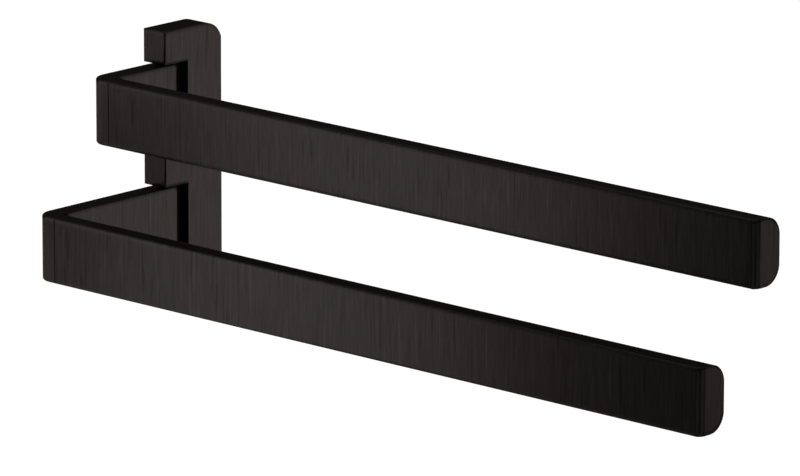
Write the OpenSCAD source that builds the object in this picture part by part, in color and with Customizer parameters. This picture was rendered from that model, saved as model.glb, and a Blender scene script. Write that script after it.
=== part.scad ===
// Towel holder with two swivelling arms.
// The wall is the plane y = 0, the room lies towards -y, and z points up.
// The origin is the middle of the wall plate's back, between its two screw holes.

/* [Bracket] */
// Width of the bracket along the wall
bracket_w = 42.2; // [39:0.1:60]
// Depth of the bracket out from the wall
bracket_d = 15; // [14:0.1:20]
// Height of the top and of the bottom knuckle
end_knuckle_h = 17.5; // [15:0.1:30]
// Height of the middle knuckle, between the two arms
mid_knuckle_h = 29.7; // [20:0.1:60]
// Radius of the two outline corners on the spine's side
bracket_corner_r = 12.5; // [4:0.1:16]
// Depth of the two slots that take the arms
slot_depth = 17; // [16:0.5:19]
// Radius of the fine rounding on the visible edges
edge_r = 1; // [0.3:0.1:1]

/* [Arms] */
// Height of both arms
arm_h = 34; // [28:0.5:45]
// Distance from the wall to the free ends of the arms
arm_projection = 450; // [250:1:600]
// Distance from the bracket's side to the outer face of the upper bar
upper_reach = 45.3; // [32:0.1:60]
// Distance from the bracket's side to the outer face of the lower bar
lower_reach = 84.7; // [70:0.1:120]
// Distance from the wall to the back of the arms' legs
wall_gap = 3.5; // [3:0.1:4]
// Radius of the outer corner of each arm
leg_corner_r = 11.5; // [3:0.5:12]
// Thickness of each bar, along the wall
bar_t = 18.2; // [15:0.1:22]
// Radius of the two inner corners of the bar's section
bar_round_r = 10; // [5:0.1:12]
// Wall thickness of the hollow bars
bar_wall = 1.6; // [1.6:0.1:3]
// Width of the fine bevel on both sides of the joint between leg and bar
joint_bevel = 0.4; // [0.2:0.1:1.2]
// Length of each arm's corner past the leg's inner face, up to the bar
corner_l = 4; // [2:0.5:8]
// Length of the tenon that carries the bar
tenon_l = 26; // [20:0.5:40]

/* [End caps] */
// Thickness of the visible part of an end cap
cap_t = 6; // [5:0.1:8]
// Radius of the cap's outer upright edge
cap_edge_r = 4.5; // [0.5:0.1:4.8]
// Length of the cap's spigot inside the bar
spigot_l = 12; // [6:0.5:20]
// Wall thickness of the spigot
spigot_wall = 1.6; // [1:0.1:2]

/* [Hinge] */
// Diameter of the pivot rod
rod_d = 5; // [4:0.1:5.6]
// Distance from the bracket's side to the hinge axis
pivot_inset = 8; // [7.5:0.1:9]
// Length of each leg's nose past the hinge axis
nose_l = 7; // [6:0.1:7.5]
// Radius of the nose's corner on the wall side
nose_back_r = 2; // [1.5:0.1:3.5]
// Gap between an arm and each knuckle, filled by a bush's flange
slip_gap = 0.5; // [0.3:0.1:1]
// Wall thickness of the bushes
bush_wall = 1; // [0.8:0.1:1.2]
// Length of a bush inside the arm
bush_l = 10; // [6:0.5:12]
// Width of a bush's flange past its sleeve
bush_flange_w = 1.2; // [0.6:0.1:1.3]
// Length of the rod inside the top knuckle
rod_blind_l = 12; // [8:0.5:13]
// Diameter of the set screw under the rod
rod_screw_d = 6; // [5.8:0.1:7]
// Length of the set screw under the rod
rod_screw_l = 8; // [5:0.5:10]

// Diameter of the screw that keeps the rod from turning
rod_lock_d = 4; // [3:0.1:5]

/* [Wall plate] */
// Thickness of the wall plate
plate_t = 6; // [5:0.1:7]
// Thickness of the bracket's wall at each side of the plate
pocket_side = 3; // [2:0.1:4]
// Height of solid metal above and below the pocket
pocket_end = 12; // [10:0.5:16]
// Distance between the two wall screws
wall_screw_spacing = 60; // [40:1:64]
// Diameter of the wall screw holes
wall_screw_d = 5.2; // [4:0.1:6]
// Diameter of a wall screw's countersunk head
wall_screw_head_d = 10; // [8:0.1:11]
// Diameter of the lock screw
lock_screw_d = 4; // [3:0.1:5]

/* [Joint screws] */
// Diameter of the screws that hold a bar on its tenon
bar_screw_d = 3; // [2.5:0.1:3.5]
// Length of those screws
bar_screw_l = 9; // [6:0.5:12]
// Distance between the two screws of one bar
bar_screw_spacing = 11; // [8:0.5:14]

/* [Fits] */
// Radial clearance of the rod in its bushes
run_fit = 0.05; // [0.02:0.01:0.1]
// Radial clearance of screws and of the rod in the bracket
close_fit = 0.02; // [0.01:0.01:0.05]
// Clearance of a tenon or spigot inside a bar
slide_fit = 0.15; // [0.05:0.05:0.3]
// Clearance round the wall plate in its pocket
plate_fit = 0.4; // [0.2:0.1:0.6]

/* [Hidden] */
$fn = 72;
cut = 0.1;
hex_sides = 6;

slot_h = arm_h + 2 * slip_gap;
bracket_h = 2 * end_knuckle_h + 2 * slot_h + mid_knuckle_h;
top_z = bracket_h / 2;
spine_w = bracket_w - slot_depth;
side_x = -slot_depth - spine_w / 2;
upper_z = (mid_knuckle_h + slot_h) / 2;
lower_z = -upper_z;

leg_t = bracket_d - wall_gap;
pivot_x = side_x + pivot_inset;
pivot_y = -wall_gap - leg_t / 2;
nose_x = pivot_x + nose_l;
nose_front_r = leg_t - nose_back_r;
leg_round_r = min(leg_corner_r, leg_t);

rod_r = rod_d / 2;
bush_in_r = rod_r + run_fit;
bush_out_r = bush_in_r + bush_wall;
rod_screw_r = rod_screw_d / 2;
rod_screw_sunk = 1;
rod_lock_r = rod_lock_d / 2;
rod_bottom_z = -top_z + rod_screw_sunk + rod_screw_l;
rod_top_z = top_z - end_knuckle_h + rod_blind_l;
ring_r = (bush_out_r - bush_in_r) / 2;

pocket_w = spine_w - 2 * pocket_side;
pocket_d = plate_t + 1;
pocket_top_z = top_z - pocket_end;
plate_w = pocket_w - 2 * plate_fit;
plate_top_z = pocket_top_z - plate_fit;
plate_bottom_z = -pocket_top_z + plate_t;
lock_screw_r = lock_screw_d / 2;
lock_screw_y = -plate_t * 0.6;
lock_screw_top_z = plate_bottom_z + plate_t + lock_screw_y - plate_fit / 2;
lock_screw_sunk = 2;

bar_start_y = -bracket_d - corner_l;
bar_l = arm_projection + bar_start_y - cap_t;
bar_inner_w = bar_t - 2 * bar_wall;
bar_inner_h = arm_h - 2 * bar_wall;
bar_inner_r = bar_round_r - bar_wall;
bar_screw_r = bar_screw_d / 2;
bar_screw_head_r = bar_screw_r * 1.8;
bar_screw_head_h = bar_screw_head_r - bar_screw_r;
bar_screw_x = bar_wall + slide_fit + bar_screw_r + 1;
bar_screw_sunk = 0.2;

metal = "#2f2926";
steel = "silver";
polymer = "#1c1c1c";
rubber = "#101010";

// Square corner less a quarter disc, to round a corner at the origin that points to -x, -y
module corner_cut(r) {
  difference() {
    translate([-cut, -cut]) square(r + cut);
    translate([r, r]) circle(r);
  }
}

// Section of a bar, its flat side on x = 0, its rounded side towards +x, centred in height
module bar_section(w, h, r, soft) {
  difference() {
    translate([0, -h / 2]) square([w, h]);
    for (side = [0, 1]) mirror([0, side]) {
      translate([w, -h / 2]) mirror([1, 0]) corner_cut(r);
      if (soft > 0) translate([0, -h / 2]) corner_cut(soft);
    }
  }
}

// Solid with a bar's section from y = 0 out into the room
module bar_run(w, h, r, soft, l) {
  rotate([90, 0, 0]) linear_extrude(l) bar_section(w, h, r, soft);
}

// Outline of the bracket seen from the room: a spine with three knuckles
module bracket_outline() {
  difference() {
    translate([side_x, -top_z]) square([bracket_w, bracket_h]);
    for (side = [0, 1]) mirror([0, side])
      translate([side_x + bracket_w, -top_z]) mirror([1, 0]) corner_cut(bracket_corner_r);
    for (z = [upper_z, lower_z])
      translate([side_x - cut, z - slot_h / 2]) square([slot_depth + cut, slot_h]);
  }
}

// Room for the wall plate, with a sloping lip that hooks over the plate's top edge
module plate_pocket() {
  translate([-pocket_w / 2, 0, 0]) rotate([90, 0, 90]) linear_extrude(pocket_w)
    polygon([
      [cut, -pocket_top_z], [cut, pocket_top_z - plate_t],
      [0, pocket_top_z - plate_t], [-plate_t, pocket_top_z],
      [-pocket_d, pocket_top_z], [-pocket_d, -pocket_top_z]
    ]);
}

// Fine roundings along the bracket's edges on the room side
module bracket_edge_cuts() {
  for (x_mirror = [0, 1])
    translate([side_x + bracket_w / 2, -bracket_d, -top_z - cut]) mirror([x_mirror, 0, 0])
      translate([-bracket_w / 2, 0, 0]) linear_extrude(bracket_h + 2 * cut) corner_cut(edge_r);
  for (z_mirror = [0, 1])
    mirror([0, 0, z_mirror]) translate([side_x - cut, -bracket_d, -top_z])
      rotate([90, 0, 90]) linear_extrude(bracket_w + 2 * cut) corner_cut(edge_r);
}

module bracket_body() {
  color(metal) difference() {
    rotate([90, 0, 0]) linear_extrude(bracket_d) bracket_outline();
    bracket_edge_cuts();
    plate_pocket();
    translate([pivot_x, pivot_y, rod_bottom_z])
      cylinder(r = rod_r + close_fit, h = rod_top_z - rod_bottom_z + close_fit);
    translate([pivot_x, pivot_y, -top_z - cut])
      cylinder(r = rod_screw_r + close_fit, h = rod_bottom_z + top_z + cut);
    translate([pivot_x, cut, 0]) rotate([90, 0, 0])
      cylinder(r = rod_lock_r + close_fit, h = cut - pivot_y);
    translate([0, lock_screw_y, -top_z - cut])
      cylinder(r = lock_screw_r + close_fit, h = pocket_end + 2 * cut);
  }
}

// Countersunk hole through the wall plate
module wall_screw_hole() {
  head_r = wall_screw_head_d / 2;
  hole_r = wall_screw_d / 2;
  rotate([90, 0, 0]) {
    translate([0, 0, -cut]) cylinder(r = hole_r, h = plate_t + 2 * cut);
    translate([0, 0, plate_t - (head_r - hole_r)])
      cylinder(r1 = hole_r, r2 = head_r + cut, h = head_r - hole_r + cut);
  }
}

module wall_plate() {
  color(steel) difference() {
    translate([-plate_w / 2, 0, 0]) rotate([90, 0, 90]) linear_extrude(plate_w)
      polygon([
        [0, plate_bottom_z + plate_t], [0, plate_top_z - plate_t],
        [-plate_t, plate_top_z], [-plate_t, plate_bottom_z]
      ]);
    for (side = [-1, 1]) translate([0, 0, side * wall_screw_spacing / 2]) wall_screw_hole();
  }
}

// Headless screw, its socket facing down and its tip, if any, pointing up
module set_screw(r, l, tip, socket_r) {
  difference() {
    union() {
      cylinder(r = r, h = l - tip);
      if (tip > 0) translate([0, 0, l - tip]) cylinder(r1 = r, r2 = r - tip, h = tip);
    }
    translate([0, 0, -cut]) cylinder(r = socket_r, h = 1.2 * socket_r * 2 + cut, $fn = hex_sides);
  }
}

module plate_lock_screw() {
  bottom_z = -top_z + lock_screw_sunk;
  color(steel) translate([0, lock_screw_y, bottom_z])
    set_screw(lock_screw_r, lock_screw_top_z - bottom_z, lock_screw_r * 0.9, lock_screw_r * 0.55);
}

module pivot_rod() {
  color(steel) translate([pivot_x, pivot_y, rod_bottom_z]) {
    l = rod_top_z - rod_bottom_z;
    cylinder(r = rod_r, h = l - edge_r);
    translate([0, 0, l - edge_r]) cylinder(r1 = rod_r, r2 = rod_r - edge_r, h = edge_r);
  }
}

module rod_set_screw() {
  color(steel) translate([pivot_x, pivot_y, -top_z + rod_screw_sunk])
    set_screw(rod_screw_r, rod_screw_l, 0, rod_screw_r * 0.5);
}

// Screw in the middle knuckle's back, its tip on the rod
module rod_lock_screw() {
  color(steel) translate([pivot_x, -rod_screw_sunk, 0]) rotate([90, 0, 0])
    set_screw(rod_lock_r, -pivot_y - rod_r - rod_screw_sunk - close_fit, rod_lock_r * 0.5, rod_lock_r * 0.5);
}

// Plan of a leg, from the outer corner of the arm to the nose round the hinge axis
module leg_plan(reach) {
  outer_x = side_x - reach;
  difference() {
    union() {
      translate([outer_x, -bracket_d]) square([nose_x - outer_x, leg_t]);
      translate([outer_x, bar_start_y]) square([bar_t, corner_l + cut]);
    }
    translate([outer_x, -wall_gap]) mirror([0, 1]) corner_cut(leg_round_r);
    translate([nose_x, -wall_gap]) mirror([1, 0]) mirror([0, 1]) corner_cut(nose_back_r);
    translate([nose_x, -bracket_d]) mirror([1, 0]) corner_cut(nose_front_r);
    translate([outer_x, bar_start_y]) rotate(45) square(joint_bevel * sqrt(2), center = true);
  }
}

// Fine roundings along the leg's long edges and round its outer corner
module leg_edge_cuts(reach) {
  outer_x = side_x - reach;
  front_x = outer_x + bar_t - bar_round_r + sqrt(edge_r * (2 * bar_round_r - edge_r));
  for (z_mirror = [0, 1]) mirror([0, 0, z_mirror]) {
    translate([front_x, -bracket_d, -arm_h / 2])
      rotate([90, 0, 90]) linear_extrude(nose_x - outer_x) corner_cut(edge_r);
    translate([outer_x + leg_round_r, -wall_gap, -arm_h / 2]) mirror([0, 1, 0])
      rotate([90, 0, 90]) linear_extrude(nose_x - outer_x) corner_cut(edge_r);
    translate([outer_x + leg_round_r, -wall_gap - leg_round_r, -arm_h / 2])
      rotate([0, 0, 90]) rotate_extrude(angle = 90)
        translate([leg_round_r, 0]) mirror([1, 0]) corner_cut(edge_r);
  }
}

// Trims the end of an arm's corner to the section of the bar
module corner_section_cut(reach) {
  outer_x = side_x - reach;
  difference() {
    translate([outer_x - cut, bar_start_y - cut, -arm_h / 2 - cut])
      cube([bar_t + 2 * cut, corner_l + cut, arm_h + 2 * cut]);
    translate([outer_x, cut - bracket_d, 0])
      bar_run(bar_t, arm_h, bar_round_r, edge_r, corner_l + 3 * cut);
  }
}

// Leg with its tenon, round the middle height of its arm
module leg(reach) {
  outer_x = side_x - reach;
  fit = bar_wall + slide_fit;
  color(metal) difference() {
    union() {
      difference() {
        translate([0, 0, -arm_h / 2]) linear_extrude(arm_h) leg_plan(reach);
        leg_edge_cuts(reach);
        corner_section_cut(reach);
      }
      translate([outer_x + fit, cut + bar_start_y, 0])
        bar_run(bar_t - 2 * fit, arm_h - 2 * fit, bar_round_r - fit, 0, tenon_l + cut);
    }
    translate([pivot_x, pivot_y, -arm_h / 2 - cut]) cylinder(r = bush_out_r, h = arm_h + 2 * cut);
    bar_screw_places(reach) cylinder(r = bar_screw_r + close_fit, h = bar_screw_l + 1);
  }
}

// Hollow bar between the leg and the end cap
module bar(reach) {
  outer_x = side_x - reach;
  color(metal) difference() {
    translate([outer_x, bar_start_y, 0]) bar_run(bar_t, arm_h, bar_round_r, edge_r, bar_l);
    translate([outer_x + bar_wall, cut + bar_start_y, 0])
      bar_run(bar_inner_w, bar_inner_h, bar_inner_r, 0, bar_l + 2 * cut);
    translate([outer_x, bar_start_y, -arm_h / 2 - cut])
      linear_extrude(arm_h + 2 * cut) rotate(45) square(joint_bevel * sqrt(2), center = true);
    bar_screw_places(reach) {
      translate([0, 0, -cut]) cylinder(r = bar_screw_r + close_fit, h = bar_wall + slide_fit + cut);
      translate([0, 0, -bar_screw_sunk - cut])
        cylinder(r = bar_screw_head_r + close_fit, h = 2 * bar_screw_sunk + cut);
      translate([0, 0, bar_screw_sunk])
        cylinder(r1 = bar_screw_head_r + close_fit, r2 = bar_screw_r + close_fit, h = bar_screw_head_h);
    }
  }
}

// Cap that closes the free end of a bar
module end_cap(reach) {
  outer_x = side_x - reach;
  fit = bar_wall + slide_fit;
  hollow = fit + spigot_wall;
  color(metal) translate([outer_x, cap_t - arm_projection, 0]) {
    difference() {
      bar_run(bar_t, arm_h, bar_round_r, edge_r, cap_t);
      translate([0, -cap_t, -arm_h / 2 - cut]) linear_extrude(arm_h + 2 * cut) corner_cut(cap_edge_r);
    }
    difference() {
      translate([fit, spigot_l, 0])
        bar_run(bar_t - 2 * fit, arm_h - 2 * fit, bar_round_r - fit, 0, spigot_l);
      translate([hollow, spigot_l + cut, 0])
        bar_run(bar_t - 2 * hollow, arm_h - 2 * hollow, bar_round_r - hollow, 0, spigot_l);
    }
  }
}

// Places of the two screws on the underside of a bar
module bar_screw_places(reach) {
  for (side = [-1, 1])
    translate([
      side_x - reach + bar_screw_x,
      bar_start_y - tenon_l / 2 + side * bar_screw_spacing / 2,
      -arm_h / 2
    ]) children();
}

module bar_screws(reach) {
  color(steel) bar_screw_places(reach) difference() {
    translate([0, 0, bar_screw_sunk]) {
      cylinder(r1 = bar_screw_head_r, r2 = bar_screw_r, h = bar_screw_head_h);
      cylinder(r = bar_screw_r, h = bar_screw_l);
    }
    cylinder(r = bar_screw_r * 0.6, h = bar_screw_sunk + bar_screw_d * 0.45, $fn = hex_sides);
  }
}

// Flanged bush in the lower end of an arm's bore, its flange in the gap below the arm
module bush() {
  color(polymer) translate([pivot_x, pivot_y, -arm_h / 2]) difference() {
    union() {
      cylinder(r = bush_out_r, h = bush_l);
      translate([0, 0, -slip_gap]) cylinder(r = bush_out_r + bush_flange_w, h = slip_gap);
    }
    translate([0, 0, -slip_gap - cut]) cylinder(r = bush_in_r, h = bush_l + slip_gap + 2 * cut);
  }
}

// Two rubber rings on the rod, inside the arm, that hold the arm where it is put
module friction_rings() {
  color(rubber) for (side = [-1, 1])
    translate([pivot_x, pivot_y, side * (arm_h / 2 - bush_l - ring_r)])
      rotate_extrude() translate([(bush_in_r + bush_out_r) / 2, 0]) circle(ring_r, $fn = 24);
}

bracket_body();
wall_plate();
plate_lock_screw();
pivot_rod();
rod_set_screw();
rod_lock_screw();
translate([0, 0, upper_z]) leg(upper_reach);  // upper_leg
translate([0, 0, upper_z]) bar(upper_reach);  // upper_bar
translate([0, 0, upper_z]) end_cap(upper_reach);  // upper_end_cap
translate([0, 0, upper_z]) bar_screws(upper_reach);  // upper_bar_screws
translate([0, 0, upper_z]) mirror([0, 0, 1]) bush();  // upper_bush_top
translate([0, 0, upper_z]) bush();  // upper_bush_bottom
translate([0, 0, upper_z]) friction_rings();  // upper_friction_rings
translate([0, 0, lower_z]) leg(lower_reach);  // lower_leg
translate([0, 0, lower_z]) bar(lower_reach);  // lower_bar
translate([0, 0, lower_z]) end_cap(lower_reach);  // lower_end_cap
translate([0, 0, lower_z]) bar_screws(lower_reach);  // lower_bar_screws
translate([0, 0, lower_z]) mirror([0, 0, 1]) bush();  // lower_bush_top
translate([0, 0, lower_z]) bush();  // lower_bush_bottom
translate([0, 0, lower_z]) friction_rings();  // lower_friction_rings
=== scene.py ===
"""Looks and stage for the two-arm towel holder: finishes on its pieces, soft light, camera."""

import math

import bmesh
import bpy
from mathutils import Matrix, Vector

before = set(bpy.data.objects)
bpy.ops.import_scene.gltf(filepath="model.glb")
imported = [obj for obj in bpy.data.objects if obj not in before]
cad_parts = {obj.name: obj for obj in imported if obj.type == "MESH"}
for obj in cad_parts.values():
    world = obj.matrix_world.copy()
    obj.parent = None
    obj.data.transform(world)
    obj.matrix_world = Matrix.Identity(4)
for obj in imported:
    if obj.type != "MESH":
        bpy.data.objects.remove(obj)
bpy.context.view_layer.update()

bl_info = {
    "name": "Towel holder looks",
    "version": (1, 0, 0),
    "blender": (4, 5, 0),
    "location": "3D View > Sidebar > Towel holder",
    "description": "Finishes the two-arm towel holder and sets up its studio",
    "category": "Object",
}

BARS = ("upper_bar", "lower_bar")
LEGS = ("upper_leg", "lower_leg")
CAPS = ("upper_end_cap", "lower_end_cap")
SCREWS = (
    "plate_lock_screw",
    "rod_set_screw",
    "rod_lock_screw",
    "upper_bar_screws",
    "lower_bar_screws",
)
BUSHES = ("upper_bush_top", "upper_bush_bottom", "lower_bush_top", "lower_bush_bottom")
RINGS = ("upper_friction_rings", "lower_friction_rings")

# Name, centre, aim, width, height and power of each lamp, in metres and watts
LAMPS = (
    ("side_lamp", (-0.342, 0.024, -0.079), (-0.073, -0.197, 0.03), 0.199, 0.355, 0.208),
    ("side_top_lamp", (-0.364, 0.355, 0.139), (-0.073, -0.197, 0.03), 0.393, 0.45, 0.451),
    ("front_lamp", (0.45, -0.45, -0.16), (-0.02, -0.015, 0.0), 0.35, 0.4, 0.446),
    ("front_top_lamp", (0.4, -0.4, 0.243), (-0.02, -0.015, 0.03), 0.35, 0.45, 0.368),
    ("corner_lamp", (-0.185, 0.125, -0.184), (-0.035, -0.01, 0.02), 0.131, 0.3, 0.067),
    ("back_lamp", (-0.307, 0.68, -0.14), (-0.08, 0.0, 0.0), 0.182, 0.3, 0.059),
    ("end_lamp", (0.4, -0.84, -0.08), (-0.08, -0.45, 0.0), 0.25, 0.3, 0.133),
    ("far_lamp", (0.8, 0.65, -0.38), (-0.05, -0.2, 0.0), 1.1, 0.5, 1.037),
    ("right_lamp", (1.05, -0.2, -0.38), (-0.05, -0.2, 0.0), 0.7, 0.5, 0.88),
    ("wall_lamp", (0.1, 1.1, -0.38), (-0.05, -0.1, 0.0), 0.6, 0.5, 0.236),
    ("over_lamp", (-0.05, -0.1, 1.15), (-0.05, -0.15, 0.0), 1.0, 1.0, 1.26),
    ("near_lamp", (-0.95, -1.05, -0.34), (-0.06, -0.2, 0.0), 0.5, 0.5, 0.185),
    ("left_lamp", (-1.25, -0.22, -0.42), (-0.06, -0.2, 0.0), 0.5, 0.4, 0.13),
    ("nose_lamp", (0.0, -1.5, -0.4), (-0.05, -0.3, 0.0), 0.6, 0.5, 0.283),
)

# Range that most noise values lie in, and its middle
NOISE_LOW = 0.3
NOISE_MIDDLE = 0.5
NOISE_HIGH = 0.7

# Brush lines: shares of the fine and of the lone ones in the grain, scale of the lone ones
# beside the fine ones, tones of the darkest and the lightest line, strength of the relief,
# and how far the lines and the broad noise change the roughness
FINE_DETAIL = 1.5
FINE_SHARE = 0.36
GRAIN_BASE = 0.32
LONE_SHARE = 6.0
LONE_ACROSS = 0.9
LONE_ALONG = 0.5
DARK_LINE = 0.7
LIGHT_LINE = 1.3
LINE_STRENGTH = 0.12
FINE_GLOSS = 0.015
BROAD_GLOSS = 0.008
BROAD_SCALE = (9.0, 9.0, 6.0)
BROAD_DETAIL = 2.0
# Painted light: the legs' coat is made 3% lighter than the other pieces' coat, tuned to how
# bright the legs look under the lamps
LEG_PAINTED_LIGHT = 1.03

# Finishes of the pieces inside: turned marks on the plate, the rod and the screws, a faint
# mould texture on the bushes, and a little dust on the matt rubber of the rings
PLAIN_FINISHES = {
    "turned_steel": {
        "scale": (160.0, 160.0, 1400.0),
        "detail": 3.0,
        "dark": (0.42, 0.41, 0.39, 1.0),
        "light": (0.6, 0.59, 0.57, 1.0),
        "smoothest": 0.24,
        "roughest": 0.38,
        "metallic": 1.0,
    },
    "moulded_polymer": {
        "scale": (2600.0, 2600.0, 2600.0),
        "detail": 2.0,
        "dark": (0.010, 0.010, 0.010, 1.0),
        "light": (0.020, 0.019, 0.018, 1.0),
        "smoothest": 0.42,
        "roughest": 0.55,
        "metallic": 0.0,
    },
    "ring_rubber": {
        "scale": (900.0, 900.0, 900.0),
        "detail": 3.0,
        "dark": (0.008, 0.008, 0.008, 1.0),
        "light": (0.024, 0.023, 0.022, 1.0),
        "smoothest": 0.7,
        "roughest": 0.85,
        "metallic": 0.0,
    },
}

# Softened edges: rays of the Bevel node, least upward share of a level face's normal, and
# least square of a normal's length on plan
EDGE_SAMPLES = 8
LEVEL_RISE = 0.7
LEAST_PLAN = 0.01

# World: height of the view direction and strength there, from low to high
SKY_HEIGHT = (0.3, 0.8)
SKY_STRENGTH = (0.028, 0.306)

# Floor: its own grey, its white for the camera, and the pool of it that metal mirrors
FLOOR_GREY = (0.45, 0.45, 0.45, 1.0)
FLOOR_ROUGHNESS = 0.8
FLOOR_WHITE = (0.96, 0.96, 0.96, 1.0)
POOL_REACH = (0.82, 1.21)
POOL_STRENGTH = (0.22, 0.0)

CAMERA_RANGE = 100.0

# The sockets of a Mix node share their names, so they are told apart by their place
MIX_NUMBERS = (2, 3)
MIX_COLOURS = (6, 7)
MIX_NUMBER_OUT = 0
MIX_COLOUR_OUT = 2


class TowelHolderFinish(bpy.types.PropertyGroup):
    """Colours and grain of the holder's surfaces"""

    coat_colour: bpy.props.FloatVectorProperty(
        name="Coating colour",
        description="Colour of the dark brushed coating",
        subtype="COLOR",
        size=4,
        min=0.0,
        max=1.0,
        default=(0.0391, 0.0336, 0.0322, 1.0),
    )
    coat_roughness: bpy.props.FloatProperty(
        name="Coating roughness",
        description="Middle roughness of the brushed coating",
        subtype="FACTOR",
        min=0.0,
        max=1.0,
        default=0.3,
    )
    glance_tint: bpy.props.FloatVectorProperty(
        name="Glance tint",
        description="Tint of the coating where it is seen at a glancing angle",
        subtype="COLOR",
        size=4,
        min=0.0,
        max=1.0,
        default=(0.77, 0.7, 0.66, 1.0),
    )
    grain_pitch: bpy.props.FloatProperty(
        name="Grain pitch",
        description="Mean distance between two brush lines",
        unit="LENGTH",
        default=0.0013,
    )
    grain_length: bpy.props.FloatProperty(
        name="Grain length",
        description="Mean length of a brush line",
        unit="LENGTH",
        default=0.012,
    )
    grain_depth: bpy.props.FloatProperty(
        name="Grain depth",
        description="Depth of the brush lines",
        unit="LENGTH",
        default=0.00001,
    )
    edge_softness: bpy.props.FloatProperty(
        name="Edge softness",
        description="Radius over which the polish softens an edge's shading",
        unit="LENGTH",
        default=0.0032,
    )


class TowelHolderStage(bpy.types.PropertyGroup):
    """Sizes of the studio round the holder"""

    floor_drop: bpy.props.FloatProperty(
        name="Floor drop",
        description="Height of the holder's origin above the floor",
        unit="LENGTH",
        default=0.6,
    )
    floor_size: bpy.props.FloatProperty(
        name="Floor size",
        description="Side of the square floor",
        unit="LENGTH",
        default=40.0,
    )
    focal_length: bpy.props.FloatProperty(
        name="Focal length",
        description="Focal length of the camera, in millimetres on a 36 mm sensor",
        default=354.56,
    )
    camera_place: bpy.props.FloatVectorProperty(
        name="Camera place",
        description="Where the camera stands",
        subtype="TRANSLATION",
        unit="LENGTH",
        size=3,
        default=(-2.84704, -2.7806, 0.93983),
    )
    camera_turn: bpy.props.FloatVectorProperty(
        name="Camera turn",
        description="Rotation of the camera",
        subtype="EULER",
        size=3,
        default=(math.radians(76.041), math.radians(-0.1165), math.radians(-47.2581)),
    )


def shader(name):
    """A new node material with its principled shader and its output."""
    material = bpy.data.materials.new(name)
    material.use_nodes = True
    tree = material.node_tree
    tree.nodes.clear()
    output = tree.nodes.new("ShaderNodeOutputMaterial")
    surface = tree.nodes.new("ShaderNodeBsdfPrincipled")
    tree.links.new(surface.outputs["BSDF"], output.inputs["Surface"])
    return material, tree, surface


def stretched_noise(tree, scale, detail):
    """Noise on Object coordinates, scaled by axis. Returns its value socket."""
    place = tree.nodes.new("ShaderNodeTexCoord")
    stretch = tree.nodes.new("ShaderNodeMapping")
    stretch.inputs["Scale"].default_value = scale
    noise = tree.nodes.new("ShaderNodeTexNoise")
    noise.inputs["Scale"].default_value = 1.0
    noise.inputs["Detail"].default_value = detail
    noise.inputs["Roughness"].default_value = 0.5
    tree.links.new(place.outputs["Object"], stretch.inputs["Vector"])
    tree.links.new(stretch.outputs["Vector"], noise.inputs["Vector"])
    return noise.outputs["Fac"]


def ranged(tree, value, low, high, start=NOISE_LOW, end=NOISE_HIGH):
    """Maps a value from the range start to end to the range low to high."""
    node = tree.nodes.new("ShaderNodeMapRange")
    node.inputs["From Min"].default_value = start
    node.inputs["From Max"].default_value = end
    node.inputs["To Min"].default_value = low
    node.inputs["To Max"].default_value = high
    tree.links.new(value, node.inputs["Value"])
    return node.outputs["Result"]


def tinted(tree, value, dark, light):
    """Colour between dark and light, by a value from 0 to 1."""
    mix = tree.nodes.new("ShaderNodeMix")
    mix.data_type = "RGBA"
    for place, colour in zip(MIX_COLOURS, (dark, light)):
        mix.inputs[place].default_value = colour
    tree.links.new(value, mix.inputs["Factor"])
    return mix.outputs[MIX_COLOUR_OUT]


def scaled_colour(colour, factor):
    """A colour made darker or lighter by a factor."""
    return (*(channel * factor for channel in colour[:3]), 1.0)


def turned(tree, vector, source, target):
    """A normal turned from one space to another."""
    node = tree.nodes.new("ShaderNodeVectorTransform")
    node.vector_type = "NORMAL"
    node.convert_from = source
    node.convert_to = target
    tree.links.new(vector, node.inputs["Vector"])
    return node.outputs["Vector"]


def math_node(tree, operation, first, second=0.0):
    """A math node. Each input is a socket or a number."""
    node = tree.nodes.new("ShaderNodeMath")
    node.operation = operation
    for place, value in enumerate((first, second)):
        if isinstance(value, (int, float)):
            node.inputs[place].default_value = value
        else:
            tree.links.new(value, node.inputs[place])
    return node.outputs[0]


def chosen(tree, switch, off, on):
    """The value off where switch is 0 and on where it is 1."""
    node = tree.nodes.new("ShaderNodeMix")
    tree.links.new(switch, node.inputs["Factor"])
    for place, value in zip(MIX_NUMBERS, (off, on)):
        tree.links.new(value, node.inputs[place])
    return node.outputs[MIX_NUMBER_OUT]


def object_axes(tree, normal):
    """X, Y and Z of a normal, in the object's own space."""
    node = tree.nodes.new("ShaderNodeSeparateXYZ")
    tree.links.new(turned(tree, normal, "WORLD", "OBJECT"), node.inputs[0])
    return node.outputs["X"], node.outputs["Y"], node.outputs["Z"]


def plan_length(tree, rise, least):
    """Length on plan of a normal with this rise. Its square never falls under least."""
    square = math_node(tree, "SUBTRACT", 1.0, math_node(tree, "MULTIPLY", rise, rise))
    return math_node(tree, "SQRT", math_node(tree, "MAXIMUM", square, least))


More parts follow.
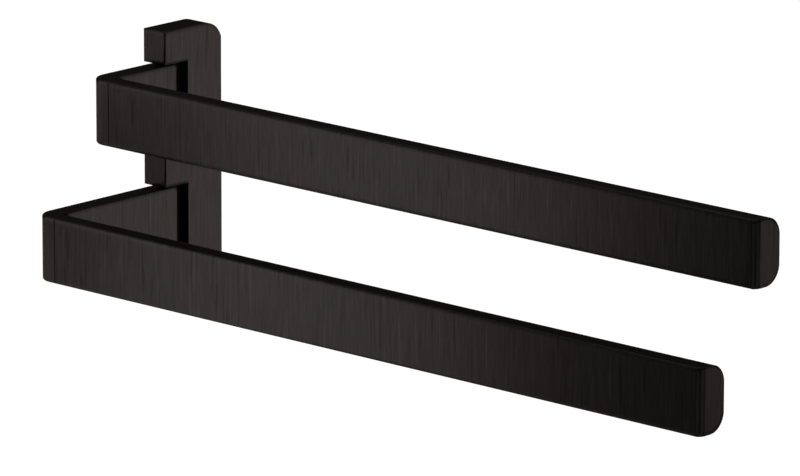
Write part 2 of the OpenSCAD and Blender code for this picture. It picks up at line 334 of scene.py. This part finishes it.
def soft_edges(tree, radius, flush_end):
    """Normal that leans up or down near the level edges, as on polished metal.

    Upright faces keep their direction on plan, so upright edges stay crisp. Level faces lean
    outwards only along X, because the flush joints lie across Y. Where a piece ends flush on
    its neighbour, flush_end names the math operation with zero, MINIMUM or MAXIMUM, that
    takes the joint's direction out of the normal.
    """
    edge = tree.nodes.new("ShaderNodeBevel")
    edge.samples = EDGE_SAMPLES
    edge.inputs["Radius"].default_value = radius
    face = tree.nodes.new("ShaderNodeNewGeometry")
    soft_x, soft_y, soft_z = object_axes(tree, edge.outputs["Normal"])
    face_x, face_y, face_z = object_axes(tree, face.outputs["Normal"])
    if flush_end:
        face_y = math_node(tree, flush_end, face_y)
    level = math_node(tree, "GREATER_THAN", math_node(tree, "ABSOLUTE", face_z), LEVEL_RISE)
    share = math_node(
        tree, "DIVIDE", plan_length(tree, soft_z, 0.0), plan_length(tree, face_z, LEAST_PLAN)
    )
    whole = tree.nodes.new("ShaderNodeCombineXYZ")
    tree.links.new(
        chosen(tree, level, math_node(tree, "MULTIPLY", face_x, share), soft_x),
        whole.inputs["X"],
    )
    tree.links.new(
        chosen(tree, level, math_node(tree, "MULTIPLY", face_y, share), face_y),
        whole.inputs["Y"],
    )
    tree.links.new(soft_z, whole.inputs["Z"])
    unit = tree.nodes.new("ShaderNodeVectorMath")
    unit.operation = "NORMALIZE"
    tree.links.new(whole.outputs[0], unit.inputs[0])
    return turned(tree, unit.outputs[0], "OBJECT", "WORLD")


def brushed_coating(name, along_x, painted_light=1.0, flush_end=""):
    """Dark brushed coating with upright brush lines.

    along_x is 1 where the lines stand side by side along X too, and 0 where they run on along
    X, round a bar. painted_light lightens one piece's coat. This is painted light, tuned to how
    bright that piece looks under the lamps, not a colour of its own. flush_end is as in
    soft_edges.
    """
    look = bpy.context.scene.towel_holder_finish
    material, tree, surface = shader(name)
    across = 1.0 / look.grain_pitch
    along = 1.0 / look.grain_length
    fine = stretched_noise(tree, (across * along_x + along, across, along), FINE_DETAIL)
    broad = stretched_noise(tree, BROAD_SCALE, BROAD_DETAIL)
    lone = stretched_noise(
        tree,
        (across * along_x * LONE_ACROSS + along, across * LONE_ACROSS, along * LONE_ALONG),
        0.0,
    )
    offset = math_node(tree, "SUBTRACT", lone, NOISE_MIDDLE)
    cube = math_node(tree, "MULTIPLY", offset, math_node(tree, "MULTIPLY", offset, offset))
    grain = math_node(
        tree,
        "ADD",
        math_node(tree, "ADD", math_node(tree, "MULTIPLY", fine, FINE_SHARE), GRAIN_BASE),
        math_node(tree, "MULTIPLY", cube, LONE_SHARE),
    )

    # Painted light: one piece's factor lightens both line colours of its coat
    tint = tinted(
        tree,
        ranged(tree, grain, 0.0, 1.0),
        scaled_colour(look.coat_colour, DARK_LINE * painted_light),
        scaled_colour(look.coat_colour, LIGHT_LINE * painted_light),
    )
    tree.links.new(tint, surface.inputs["Base Color"])

    middle = look.coat_roughness
    rough = math_node(
        tree,
        "ADD",
        ranged(tree, grain, middle - FINE_GLOSS, middle + FINE_GLOSS),
        ranged(tree, broad, -BROAD_GLOSS, BROAD_GLOSS),
    )
    tree.links.new(rough, surface.inputs["Roughness"])

    edge = soft_edges(tree, look.edge_softness, flush_end)
    lines = tree.nodes.new("ShaderNodeBump")
    lines.inputs["Strength"].default_value = LINE_STRENGTH
    lines.inputs["Distance"].default_value = look.grain_depth
    tree.links.new(fine, lines.inputs["Height"])
    tree.links.new(edge, lines.inputs["Normal"])
    tree.links.new(lines.outputs["Normal"], surface.inputs["Normal"])
    surface.inputs["Metallic"].default_value = 1.0
    surface.inputs["Specular Tint"].default_value = look.glance_tint
    return material


def speckled(name):
    """A plain finish whose colour and roughness vary a little with one noise."""
    finish = PLAIN_FINISHES[name]
    material, tree, surface = shader(name)
    marks = stretched_noise(tree, finish["scale"], finish["detail"])
    tint = tinted(tree, ranged(tree, marks, 0.0, 1.0), finish["dark"], finish["light"])
    tree.links.new(tint, surface.inputs["Base Color"])
    rough = ranged(tree, marks, finish["smoothest"], finish["roughest"])
    tree.links.new(rough, surface.inputs["Roughness"])
    surface.inputs["Metallic"].default_value = finish["metallic"]
    return material


def give(material, nodes):
    """Puts one material on every face of the named CAD nodes."""
    for name in nodes:
        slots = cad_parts[name].data.materials
        slots.clear()
        slots.append(material)


def linked(data, name):
    """A new object in the scene, at the origin."""
    item = bpy.data.objects.new(name, data)
    bpy.context.scene.collection.objects.link(item)
    return item


class BarsOperator(bpy.types.Operator):
    """Finish both bars with brush lines round the bar"""

    bl_idname = "towel_holder.bars"
    bl_label = "Bars"

    def execute(self, context):
        give(brushed_coating("brushed_bar", 0.0, flush_end="MAXIMUM"), BARS)
        return {"FINISHED"}


class SolidPiecesOperator(bpy.types.Operator):
    """Finish the bracket, the legs and the end caps with upright brush lines"""

    bl_idname = "towel_holder.solid_pieces"
    bl_label = "Bracket, legs and caps"

    def execute(self, context):
        give(brushed_coating("brushed_bracket", 1.0), ("bracket_body",))
        # The legs' coat is lightened a little: painted light, not a colour of their own
        give(brushed_coating("brushed_leg", 1.0, LEG_PAINTED_LIGHT), LEGS)
        give(brushed_coating("brushed_cap", 1.0, flush_end="MINIMUM"), CAPS)
        return {"FINISHED"}


class SteelOperator(bpy.types.Operator):
    """Finish the wall plate, the pivot rod and the screws"""

    bl_idname = "towel_holder.steel"
    bl_label = "Plate, rod and screws"

    def execute(self, context):
        give(speckled("turned_steel"), ("wall_plate", "pivot_rod", *SCREWS))
        return {"FINISHED"}


class BushesOperator(bpy.types.Operator):
    """Finish the bushes and the friction rings"""

    bl_idname = "towel_holder.bushes"
    bl_label = "Bushes and rings"

    def execute(self, context):
        give(speckled("moulded_polymer"), BUSHES)
        give(speckled("ring_rubber"), RINGS)
        return {"FINISHED"}


def softbox(name, centre, aim, width, height, power):
    """A rectangular lamp that faces the point aim and stays out of the picture."""
    lamp = bpy.data.lights.new(name, "AREA")
    lamp.shape = "RECTANGLE"
    lamp.size = width
    lamp.size_y = height
    lamp.energy = power
    item = linked(lamp, name)
    item.location = centre
    item.rotation_euler = (Vector(aim) - Vector(centre)).to_track_quat("-Z", "Y").to_euler()
    item.visible_camera = False


def studio_world():
    """White for the camera, and for everything else dark, with soft light from above."""
    world = bpy.data.worlds.new("studio")
    bpy.context.scene.world = world
    world.use_nodes = True
    tree = world.node_tree
    tree.nodes.clear()
    place = tree.nodes.new("ShaderNodeTexCoord")
    split = tree.nodes.new("ShaderNodeSeparateXYZ")
    tree.links.new(place.outputs["Generated"], split.inputs["Vector"])
    soft = tree.nodes.new("ShaderNodeBackground")
    tree.links.new(
        ranged(tree, split.outputs["Z"], *SKY_STRENGTH, *SKY_HEIGHT), soft.inputs["Strength"]
    )
    white = tree.nodes.new("ShaderNodeBackground")
    rays = tree.nodes.new("ShaderNodeLightPath")
    mix = tree.nodes.new("ShaderNodeMixShader")
    tree.links.new(rays.outputs["Is Camera Ray"], mix.inputs["Fac"])
    tree.links.new(soft.outputs["Background"], mix.inputs[1])
    tree.links.new(white.outputs["Background"], mix.inputs[2])
    output = tree.nodes.new("ShaderNodeOutputWorld")
    tree.links.new(mix.outputs["Shader"], output.inputs["Surface"])


def studio_floor(drop, size):
    """A plain pale floor: white for the camera, and a dim pool of white for the metal."""
    shape = bmesh.new()
    bmesh.ops.create_grid(shape, x_segments=1, y_segments=1, size=size / 2)
    bmesh.ops.translate(shape, vec=(0.0, 0.0, -drop), verts=shape.verts)
    mesh = bpy.data.meshes.new("floor")
    shape.to_mesh(mesh)
    shape.free()
    floor = linked(mesh, "floor")

    material, tree, surface = shader("pale_floor")
    surface.inputs["Base Color"].default_value = FLOOR_GREY
    surface.inputs["Roughness"].default_value = FLOOR_ROUGHNESS
    place = tree.nodes.new("ShaderNodeTexCoord")
    reach = tree.nodes.new("ShaderNodeVectorMath")
    reach.operation = "LENGTH"
    tree.links.new(place.outputs["Object"], reach.inputs[0])
    pool = ranged(tree, reach.outputs["Value"], *POOL_STRENGTH, *POOL_REACH)
    rays = tree.nodes.new("ShaderNodeLightPath")
    mirrored = math_node(
        tree, "MAXIMUM", rays.outputs["Is Glossy Ray"], rays.outputs["Is Transmission Ray"]
    )
    seen = math_node(tree, "MULTIPLY", mirrored, pool)
    white = tree.nodes.new("ShaderNodeEmission")
    white.inputs["Color"].default_value = FLOOR_WHITE
    tree.links.new(
        math_node(tree, "MAXIMUM", rays.outputs["Is Camera Ray"], seen), white.inputs["Strength"]
    )
    both = tree.nodes.new("ShaderNodeAddShader")
    output = tree.nodes["Material Output"]
    tree.links.new(surface.outputs["BSDF"], both.inputs[0])
    tree.links.new(white.outputs["Emission"], both.inputs[1])
    tree.links.new(both.outputs["Shader"], output.inputs["Surface"])
    mesh.materials.append(material)


class StageOperator(bpy.types.Operator):
    """Set up the floor, the lamps, the world and the camera"""

    bl_idname = "towel_holder.stage"
    bl_label = "Stage"

    def execute(self, context):
        stage = context.scene.towel_holder_stage
        studio_world()
        studio_floor(stage.floor_drop, stage.floor_size)
        for lamp in LAMPS:
            softbox(*lamp)

        view = bpy.data.cameras.new("camera")
        view.lens = stage.focal_length
        view.clip_end = CAMERA_RANGE
        camera = linked(view, "camera")
        camera.location = stage.camera_place
        camera.rotation_euler = stage.camera_turn
        context.scene.camera = camera
        context.scene.view_settings.view_transform = "Standard"
        return {"FINISHED"}


STEPS = (BarsOperator, SolidPiecesOperator, SteelOperator, BushesOperator, StageOperator)


class TowelHolderPanel(bpy.types.Panel):
    """Lists the steps that finish the towel holder"""

    bl_label = "Towel holder"
    bl_idname = "VIEW3D_PT_towel_holder"
    bl_space_type = "VIEW_3D"
    bl_region_type = "UI"
    bl_category = "Towel holder"

    def draw(self, context):
        for step in STEPS:
            self.layout.operator(step.bl_idname)
        for group in ("towel_holder_finish", "towel_holder_stage"):
            settings = getattr(context.scene, group)
            for name in settings.__annotations__:
                self.layout.prop(settings, name)


CLASSES = (TowelHolderFinish, TowelHolderStage, *STEPS, TowelHolderPanel)


def register():
    for item in CLASSES:
        bpy.utils.register_class(item)
    scene = bpy.types.Scene
    scene.towel_holder_finish = bpy.props.PointerProperty(type=TowelHolderFinish)
    scene.towel_holder_stage = bpy.props.PointerProperty(type=TowelHolderStage)


def unregister():
    del bpy.types.Scene.towel_holder_stage
    del bpy.types.Scene.towel_holder_finish
    for item in reversed(CLASSES):
        bpy.utils.unregister_class(item)


def main():
    register()
    for step in STEPS:
        area, name = step.bl_idname.split(".")
        getattr(getattr(bpy.ops, area), name)()


if __name__ == "__main__":
    main()
